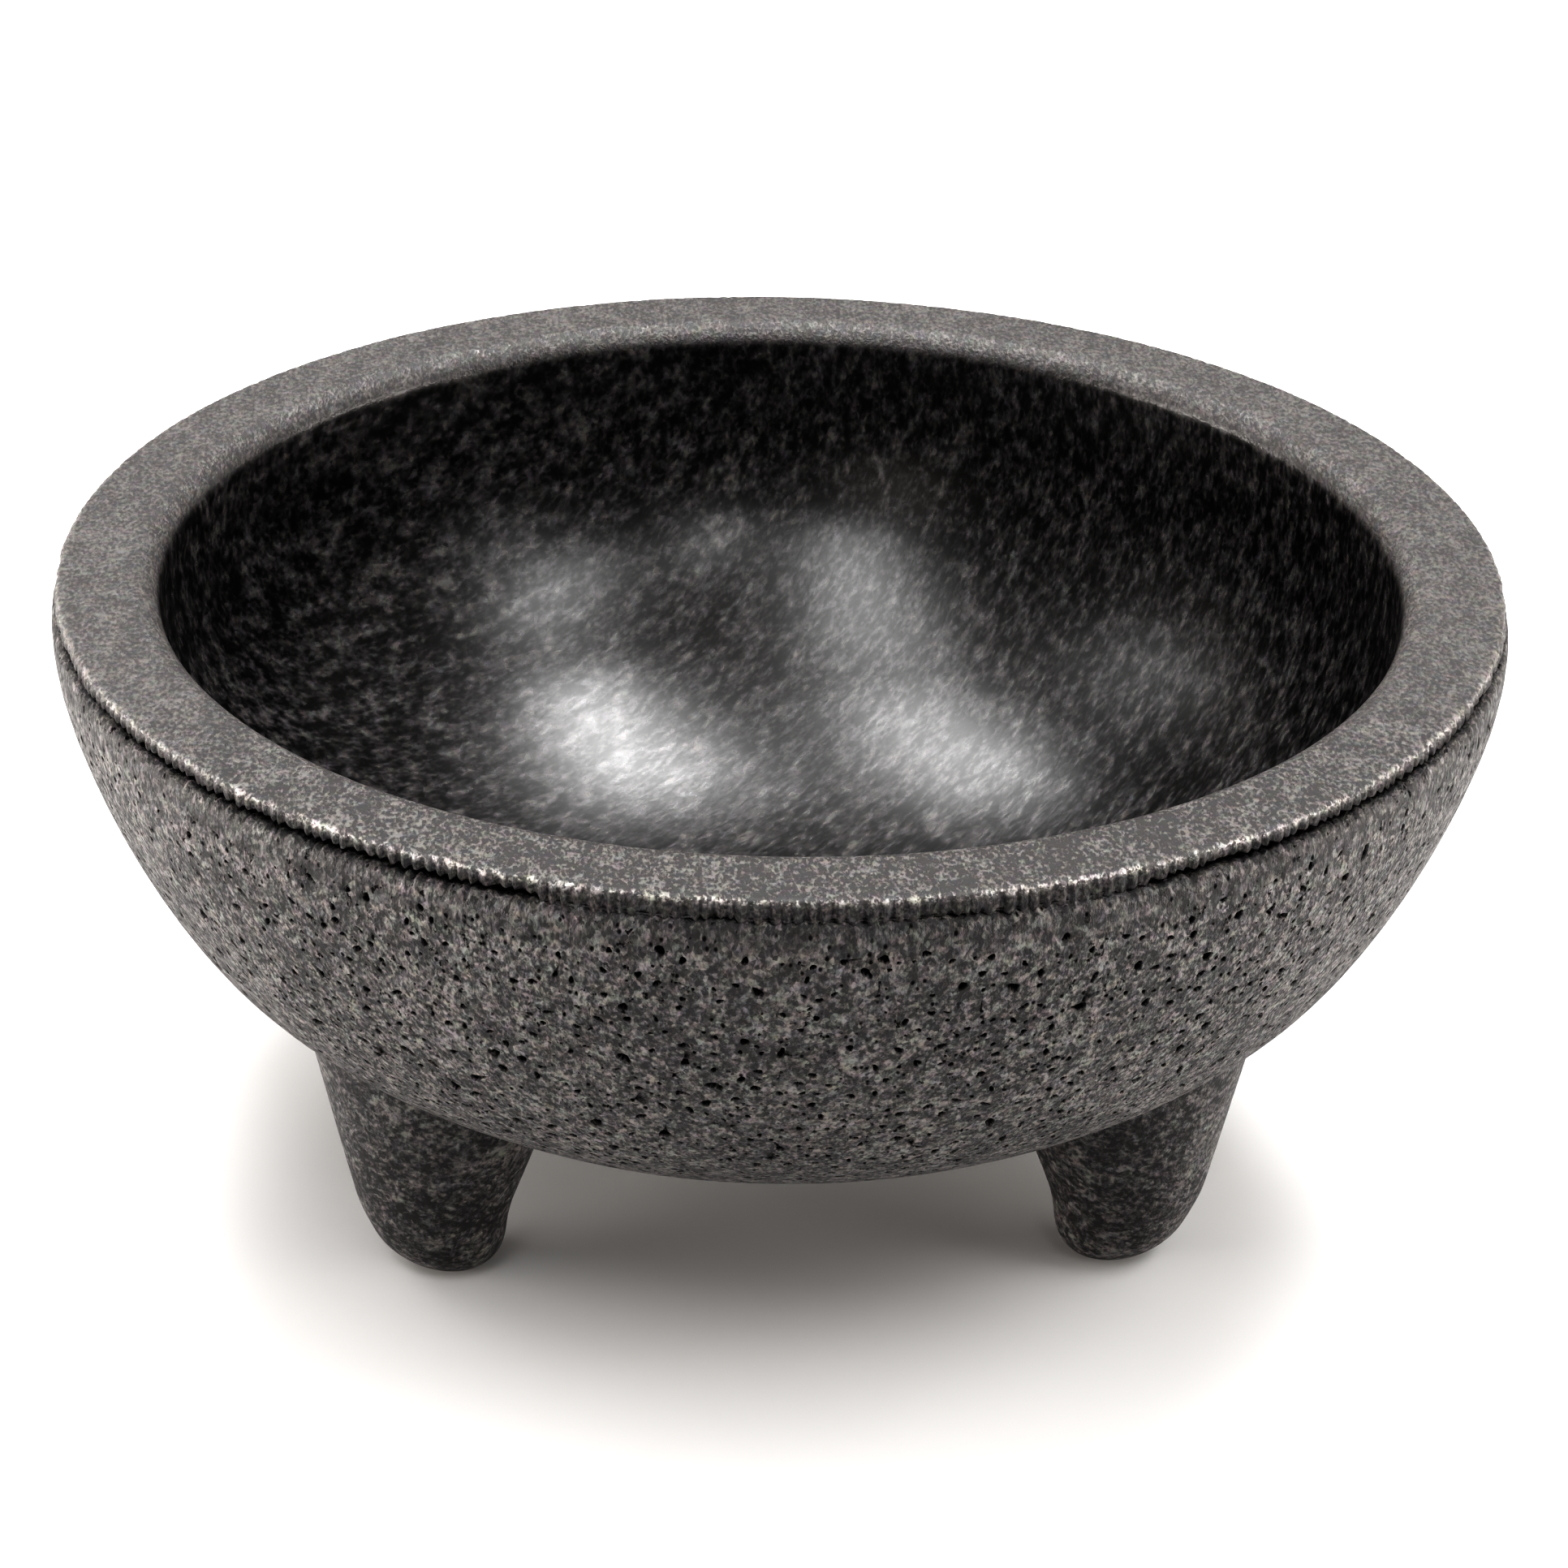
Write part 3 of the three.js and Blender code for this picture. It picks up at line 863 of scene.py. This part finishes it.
def tinted(N, v, co, amount, size):
    """A warm grey where it is pale and a cooler one where it is dark, with a faint variation from grain to grain."""
    warm, cool = N.grey(v, (1.0, 0.945, 0.90)), N.grey(v, (1.0, 0.94, 0.97))
    col = N.mix(N.remap(v, 0.02, 0.10), cool, warm)
    tint = N.noise_col(co, size, 1.0)
    tn = N.n("ShaderNodeMix", data_type="RGBA", blend_type="SOFT_LIGHT")
    tn.inputs[0].default_value = amount
    N.link(col, tn.inputs[6])
    N.link(tint, tn.inputs[7])
    return tn.outputs[2]


def shell_material():
    N = Nodes("granite_shell")
    co = N.coords()
    st = N.vmath("MULTIPLY", co, (1.0, 1.0, 0.72))
    sep = N.n("ShaderNodeSeparateXYZ")
    N.link(co, sep.inputs[0])
    # band just under the rim's lip: short upright strokes, and a darker grey there, painted shade under the overhang
    lip_shadow_band = N.remap(sep.outputs[2], (HEIGHT - 7.5) * MM, (HEIGHT - 3.2) * MM, 0.0, 1.0, True)
    pit = N.attr("pit")
    a1, a2, _ = grains(N, st, 2300.0)
    b1, b2, bd = grains(N, N.vmath("ADD", st, (3.1, 1.7, 0.4)), 1250.0)
    fine = N.noise(st, 2300.0, 2.0, 0.6)
    mid = N.noise(co, 420.0, 3.0, 0.62)
    big = N.noise(co, 70.0, 3.0, 0.55)
    strokes = N.noise(N.vmath("MULTIPLY", co, (1.0, 1.0, 0.48)), 2300.0, 3.0, 0.65)
    q = N.math("ADD", N.math("MULTIPLY", a1, 0.42), N.math("MULTIPLY", b1, 0.18))
    q = N.math("ADD", q, N.mixf(lip_shadow_band, N.remap(fine, 0.25, 0.75, -0.10, 0.46), N.remap(strokes, 0.3, 0.7, -0.12, 0.40)))
    q = N.math("ADD", q, N.remap(mid, 0.28, 0.72, -0.17, 0.17))
    q = N.math("ADD", q, N.remap(big, 0.3, 0.7, -0.06, 0.06))
    g = N.remap(q, 0.08, 1.0, 0.0, 1.0, True)
    # painted shade: the grey drops from 0.160 to 0.125 in the band under the lip
    v = N.math("ADD", N.math("MULTIPLY", N.math("POWER", g, 1.6), N.mixf(lip_shadow_band, 0.160, 0.125)), 0.010)
    # small open pores and chips; with the mesh's pits they are painted near black, dull and barely reflecting: painted
    # shade in the holes
    pore = N.math("MULTIPLY", N.remap(bd, 0.16, 0.36, 1.0, 0.0), N.remap(b2, 0.84, 0.88, 0.0, 1.0))
    chip = N.math("MULTIPLY", N.remap(N.noise(st, 1050.0, 3.0, 0.7), 0.625, 0.675), N.remap(N.noise(co, 130.0, 2.0, 0.5), 0.38, 0.54))
    pore = N.math("MAXIMUM", pore, chip)
    hole_shade = N.math("MAXIMUM", N.math("MULTIPLY", pore, 0.92), N.math("MULTIPLY", pit, 0.98))
    # painted shade in the pits and pores
    v = N.mixf(hole_shade, v, 0.003)
    rough = N.mixf(hole_shade, N.remap(q, 0.2, 0.9, 0.62, 0.46), 0.9)
    h = N.math("SUBTRACT", N.math("MULTIPLY", g, 1.0), N.math("MULTIPLY", pore, 1.3))
    nrm = N.bump(h, 0.00022, 0.85)
    return N.finish(tinted(N, v, co, 0.20, 900.0), rough, nrm, N.mixf(hole_shade, 0.45, 0.04))


def liner_material():
    N = Nodes("granite_liner")
    co = N.coords()
    sep = N.n("ShaderNodeSeparateXYZ")
    N.link(co, sep.inputs[0])
    zz = sep.outputs[2]
    rim = N.remap(zz, (HEIGHT - 3.0) * MM, (HEIGHT - 0.9) * MM, 0.0, 1.0, True)
    zone = N.attr("zone")
    # rim: short grains
    rc = N.vmath("MULTIPLY", co, (2900.0, 1700.0, 2600.0))
    r1, r2, _ = grains(N, rc, 1.0)
    rf = N.noise(rc, 0.80, 2.0, 0.6)
    rm = N.noise(rc, 0.15, 3.0, 0.62)
    qr = N.math("ADD", N.math("MULTIPLY", r1, 0.26), N.remap(rf, 0.25, 0.75, 0.0, 0.74))
    qr = N.math("ADD", qr, N.remap(rm, 0.28, 0.72, -0.17, 0.17))
    gr = N.remap(qr, 0.18, 0.95, 0.0, 1.0, True)
    crisp = N.remap(sep.outputs[1], -0.075, -0.030, 1.60, 0.80, True)
    gr = N.math("ADD", N.math("MULTIPLY", N.math("SUBTRACT", gr, 0.5), crisp), 0.5, clamp=True)
    vr = N.math("ADD", N.math("MULTIPLY", N.math("POWER", gr, 1.2), 0.090), 0.034)
    # inside: short strokes along the flow, and larger clouds
    i1, i2, _ = grains(N, flow_coords(N, 0.8, 0.42, 0.7), 1.0)
    fi = N.noise(flow_coords(N, 1.5, 0.6, 1.1), 1.0, 2.0, 0.6, 0.0)
    im = N.noise(flow_coords(N, 3.6, 1.5, 2.6), 1.0, 2.0, 0.6, 0.0)
    ib = N.noise(flow_coords(N, 34.0, 15.0, 26.0), 1.0, 2.0, 0.5, 0.3)
    qi = N.math("ADD", N.math("MULTIPLY", i1, 0.26), N.remap(fi, 0.22, 0.78, 0.0, 0.60))
    qi = N.math("ADD", qi, N.remap(im, 0.30, 0.70, -0.34, 0.34))
    qi = N.math("ADD", qi, N.remap(ib, 0.3, 0.7, -0.05, 0.05))
    gi = N.remap(qi, 0.05, 0.92, 0.0, 1.0, False)
    vi = N.math("ADD", N.math("MULTIPLY", N.math("POWER", gi, 2.0), 0.080), 0.001)
    v = N.mixf(rim, vi, vr)
    painted_glint, side, mouth = N.attr("painted_glint"), N.attr("side"), N.attr("mouth")
    under = N.remap(zone, 2.2, 3.0, 0.0, 1.0)
    # the side of the lip: painted shade, a dark grey in short upright strokes, strongest on the near side
    strokes = N.remap(N.noise(N.vmath("MULTIPLY", co, (1.0, 1.0, 0.42)), 2100.0, 3.0, 0.68), 0.32, 0.68, 0.0, 1.0)
    strokes = N.math("ADD", N.math("MULTIPLY", strokes, 0.60), N.math("MULTIPLY", gr, 0.40))
    ragged = N.math("ADD", side, N.math("MULTIPLY", N.math("SUBTRACT", strokes, 0.5), 0.8))
    side = N.math("MULTIPLY", N.remap(ragged, 0.25, 0.60), N.remap(side, 0.0, 0.10))
    painted_glint = N.math("MULTIPLY", painted_glint, N.remap(N.math("ADD", strokes, N.math("MULTIPLY", gr, 0.6)), 0.25, 0.95, 0.05, 1.0))
    lip_shade_grey = N.math("ADD", N.math("MULTIPLY", N.math("POWER", strokes, 1.5), 0.095), 0.006)
    v = N.mixf(side, v, lip_shade_grey)
    # painted highlight: the lip's edge a lighter grey where the glint falls
    v = N.mixf(painted_glint, v, N.remap(gr, 0.0, 1.0, 0.18, 0.42))
    # painted shade: the underside of the lip and the groove under it near black, fading where the groove is shut at the
    # front and back
    v = N.mixf(N.math("MULTIPLY", under, 0.95), v, 0.003)
    rough = N.mixf(rim, N.remap(gi, 0.15, 0.90, 0.29, 0.27), N.remap(gr, 0.1, 0.9, 0.60, 0.42))
    rough = N.mixf(side, rough, 0.62)
    rough = N.mixf(painted_glint, rough, N.remap(gr, 0.1, 0.9, 0.36, 0.22))
    rough = N.mixf(mouth, rough, N.remap(gr, 0.1, 0.9, 0.50, 0.34))
    h = N.mixf(rim, N.math("MULTIPLY", gi, 0.05), N.mixf(side, gr, strokes))
    n1 = N.bump(h, 0.00018, 0.85)
    # open grains shine less than closed ones
    shine = N.mixf(rim, N.remap(gi, 0.15, 0.90, 0.49, 0.55), N.remap(gr, 0.1, 0.9, 0.43, 0.60))
    shine = N.mixf(side, shine, 0.28)
    shine = N.mixf(painted_glint, shine, 0.9)
    shine = N.mixf(under, shine, 0.05)
    return N.finish(tinted(N, v, co, 0.16, 900.0), rough, n1, shine)


def leg_material():
    N = Nodes("granite_leg")
    co = N.coords()
    a1, a2, _ = grains(N, co, 2100.0)
    fine = N.noise(co, 1300.0, 2.5, 0.6)
    mid = N.noise(co, 330.0, 3.0, 0.6)
    big = N.noise(co, 60.0, 3.0, 0.55)
    q = N.math("ADD", N.math("MULTIPLY", a1, 0.28), N.remap(fine, 0.25, 0.75, 0.0, 0.72))
    q = N.math("ADD", q, N.remap(mid, 0.28, 0.72, -0.2, 0.2))
    q = N.math("ADD", q, N.remap(big, 0.3, 0.7, -0.08, 0.08))
    g = N.remap(q, 0.2, 1.0, 0.0, 1.0, True)
    v = N.math("ADD", N.math("MULTIPLY", N.math("POWER", g, 1.5), 0.12), 0.008)
    rough = N.remap(q, 0.2, 0.9, 0.58, 0.42)
    return N.finish(tinted(N, v, co, 0.16, 700.0), rough, N.bump(g, 0.00018, 0.8), 0.45)


# --------------------------------------------------------------------------
# Build
# --------------------------------------------------------------------------
shell = build_shell()
liner = build_liner()
outward(liner)
legs = {name: build_leg(name, 50.0 + 7 * i) for i, name in enumerate(LEG_AZ)}
for ob in legs.values():
    outward(ob)

m_shell, m_liner, m_leg = shell_material(), liner_material(), leg_material()
shell.data.materials.append(m_shell)
liner.data.materials.append(m_liner)
for ob in legs.values():
    ob.data.materials.append(m_leg)

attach(shell, "root")
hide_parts("outer_shell")
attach(liner, "root")
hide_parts("bowl_liner")
for name, ob in legs.items():
    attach(ob, "root")
    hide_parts(name)

# --------------------------------------------------------------------------
# Floor, light and camera
# --------------------------------------------------------------------------
floor_me = bpy.data.meshes.new("floor")
floor_ring = [(1.1 * math.cos(a), 1.1 * math.sin(a), 0) for a in np.linspace(0, 2 * math.pi, 97)[:-1]]
floor_me.from_pydata(floor_ring, [], [tuple(range(96))])
floor = bpy.data.objects.new("floor", floor_me)
bpy.context.scene.collection.objects.link(floor)
FM = Nodes("floor")
fn = FM.noise(FM.coords(), 3.0, 2.0)
fb = FM.n("ShaderNodeBsdfPrincipled")
FM.link(FM.grey(FM.remap(fn, 0.3, 0.7, 0.64, 0.66)), fb.inputs["Base Color"])
fb.inputs["Roughness"].default_value = 0.9
fb.inputs["Specular IOR Level"].default_value = 0.1
fo = FM.n("ShaderNodeOutputMaterial")
FM.link(fb.outputs[0], fo.inputs[0])
floor_me.materials.append(FM.mat)

HEADING = math.radians(3.8)  # the camera stands this far round from the front of the bowl


def studio(x, y, z=0.0):
    """A point or direction given as seen from the camera's side: x right, y away, z up."""
    c, s = math.cos(HEADING), math.sin(HEADING)
    return Vector((x * c + y * s, -x * s + y * c, z))


world = bpy.data.worlds.new("studio")
bpy.context.scene.world = world
world.use_nodes = True
wt = world.node_tree
wt.nodes.clear()


def w_math(op, a, b=0.0, clamp=False):
    m = wt.nodes.new("ShaderNodeMath")
    m.operation = op
    m.use_clamp = clamp
    for i, v in enumerate((a, b)):
        if isinstance(v, bpy.types.NodeSocket):
            wt.links.new(v, m.inputs[i])
        else:
            m.inputs[i].default_value = v
    return m.outputs[0]


def w_range(v, a, b, c, d):
    m = wt.nodes.new("ShaderNodeMapRange")
    m.interpolation_type = "SMOOTHSTEP"
    wt.links.new(v, m.inputs["Value"])
    for k, x in zip(("From Min", "From Max", "To Min", "To Max"), (a, b, c, d)):
        m.inputs[k].default_value = x
    return m.outputs["Result"]


# a pale room: white behind the bowl and at its sides, dimmer overhead and on the near side
tc = wt.nodes.new("ShaderNodeTexCoord")
sp = wt.nodes.new("ShaderNodeSeparateXYZ")
wt.links.new(tc.outputs["Generated"], sp.inputs[0])
back = w_math("MULTIPLY", w_range(sp.outputs[1], -0.75, 0.55, WORLD_FRONT, WORLD_BACK), w_range(sp.outputs[2], 0.35, 0.65, 1.0, 0.0))
back = w_math("MULTIPLY", back, w_range(sp.outputs[2], 0.33, 0.48, 0.62, 1.08))
back = w_math("MULTIPLY", back, w_range(sp.outputs[0], -0.16, 0.16, 1.08, 0.66))
side = w_math("MAXIMUM", w_range(sp.outputs[0], 0.45, 0.85, 0.0, 0.8), w_range(sp.outputs[0], -0.45, -0.80, 0.0, 1.3))
side = w_math("MULTIPLY", side, w_range(sp.outputs[2], 0.0, 0.10, 1.0, 0.0))
top = w_range(sp.outputs[2], 0.45, 0.93, 0.12, WORLD_TOP)
level = w_math("MAXIMUM", w_math("MAXIMUM", back, side), top)
bg = wt.nodes.new("ShaderNodeBackground")
wt.links.new(level, bg.inputs[1])
bg.inputs[0].default_value = (1.0, 0.955, 0.915, 1)
bg_cam = wt.nodes.new("ShaderNodeBackground")
bg_cam.inputs[0].default_value = (0.93, 0.93, 0.93, 1)
lp = wt.nodes.new("ShaderNodeLightPath")
mx = wt.nodes.new("ShaderNodeMixShader")
wt.links.new(lp.outputs["Is Camera Ray"], mx.inputs[0])
wt.links.new(bg.outputs[0], mx.inputs[1])
wt.links.new(bg_cam.outputs[0], mx.inputs[2])
wo = wt.nodes.new("ShaderNodeOutputWorld")
wt.links.new(mx.outputs[0], wo.inputs[0])


def strip(name, a, b, width, radiance):
    """A strip light whose middle line runs from a to b, facing the bowl."""
    a, b = studio(*a), studio(*b)
    mid = (a + b) / 2
    z = (mid - Vector((0, 0, 0.04))).normalized()
    y = (b - a)
    length = y.length
    y = (y - z * y.dot(z)).normalized()
    x = y.cross(z)
    d = bpy.data.lights.new(name, "AREA")
    d.shape = "RECTANGLE"
    d.size, d.size_y = width, length
    d.energy = math.pi * width * length * radiance
    o = bpy.data.objects.new(name, d)
    bpy.context.scene.collection.objects.link(o)
    m = np.eye(4)
    m[:3, 0], m[:3, 1], m[:3, 2], m[:3, 3] = x, y, z, mid
    o.matrix_world = Matrix(m.tolist())
    o.visible_camera = False
    return o


strip("strip_right", (0.44, 0.13, 1.04), (0.14, 0.68, 1.04), 0.19, 17.2)
strip("strip_left", (-0.20, 0.10, 1.04), (-0.34, 0.70, 1.04), 0.25, 10.3)
strip("strip_left_front", (-0.20, 0.05, 1.04), (-0.27, -0.90, 1.04), 0.28, 8.2)
strip("strip_right_front", (0.64, 0.02, 1.04), (0.80, -0.60, 1.04), 0.34, 6.2)
strip("strip_centre_front", (0.28, -0.62, 1.04), (0.30, -1.10, 1.04), 0.16, 6.5)
strip("front_panel", (-0.75, -1.15, 0.60), (-0.35, -1.32, 0.66), 0.5, 1.4)
strip("right_panel", (0.86, -0.22, 0.84), (1.08, -0.62, 0.56), 0.4, 1.2)
strip("left_panel", (-0.72, 0.02, 0.72), (-0.76, 0.48, 0.72), 0.40, 2.0)
strip("side_left", (-1.20, -0.62, 0.09), (-1.30, 0.38, 0.09), 0.16, 42.0)
strip("side_right", (1.20, -0.60, 0.09), (1.30, 0.36, 0.09), 0.16, 35.0)
for warm in ("front_panel", "side_left", "side_right"):
    bpy.data.lights[warm].color = (1.0, 0.95, 0.905)

# camera: distance in rim radii, elevation, roll and the tilt that puts the bowl in its place in the frame
K, F_PX, DIST = 80.7, 5321.0, 6.0
ELEV, ROLL, OX, OY = math.radians(24.345), 0.020168, -2.8, -284.3
C = np.array([0, -DIST * math.cos(ELEV), DIST * math.sin(ELEV)])
fw = -C / np.linalg.norm(C)
right = np.array([1.0, 0, 0])
up = np.cross(right, fw)
Rm = np.stack([right, -up, fw])
ax, ay = math.atan2(OX, F_PX), math.atan2(OY, math.hypot(F_PX, OX))
Ry = np.array([[math.cos(ax), 0, math.sin(ax)], [0, 1, 0], [-math.sin(ax), 0, math.cos(ax)]])
Rx = np.array([[1, 0, 0], [0, math.cos(-ay), -math.sin(-ay)], [0, math.sin(-ay), math.cos(-ay)]])
Rr = np.array([[math.cos(ROLL), -math.sin(ROLL), 0], [math.sin(ROLL), math.cos(ROLL), 0], [0, 0, 1]])
Rz = np.array([[math.cos(HEADING), -math.sin(HEADING), 0], [math.sin(HEADING), math.cos(HEADING), 0], [0, 0, 1]])
M = Ry @ Rx @ Rr @ Rm @ Rz
pos = (Rz.T @ C) * K * MM + np.array([0, 0, HEIGHT * MM])
cd = bpy.data.cameras.new("camera")
cd.sensor_width = 36.0
cd.lens = 36.0 * F_PX / 1932.0
cd.clip_start, cd.clip_end = 0.01, 50.0
cam = bpy.data.objects.new("camera", cd)
bpy.context.scene.collection.objects.link(cam)
mat = np.eye(4)
mat[:3, 0], mat[:3, 1], mat[:3, 2], mat[:3, 3] = M[0], -M[1], -M[2], pos
cam.matrix_world = Matrix(mat.tolist())
bpy.context.scene.camera = cam
bpy.context.scene.view_settings.view_transform = "Standard"
bpy.context.scene.view_settings.look = "Very High Contrast"
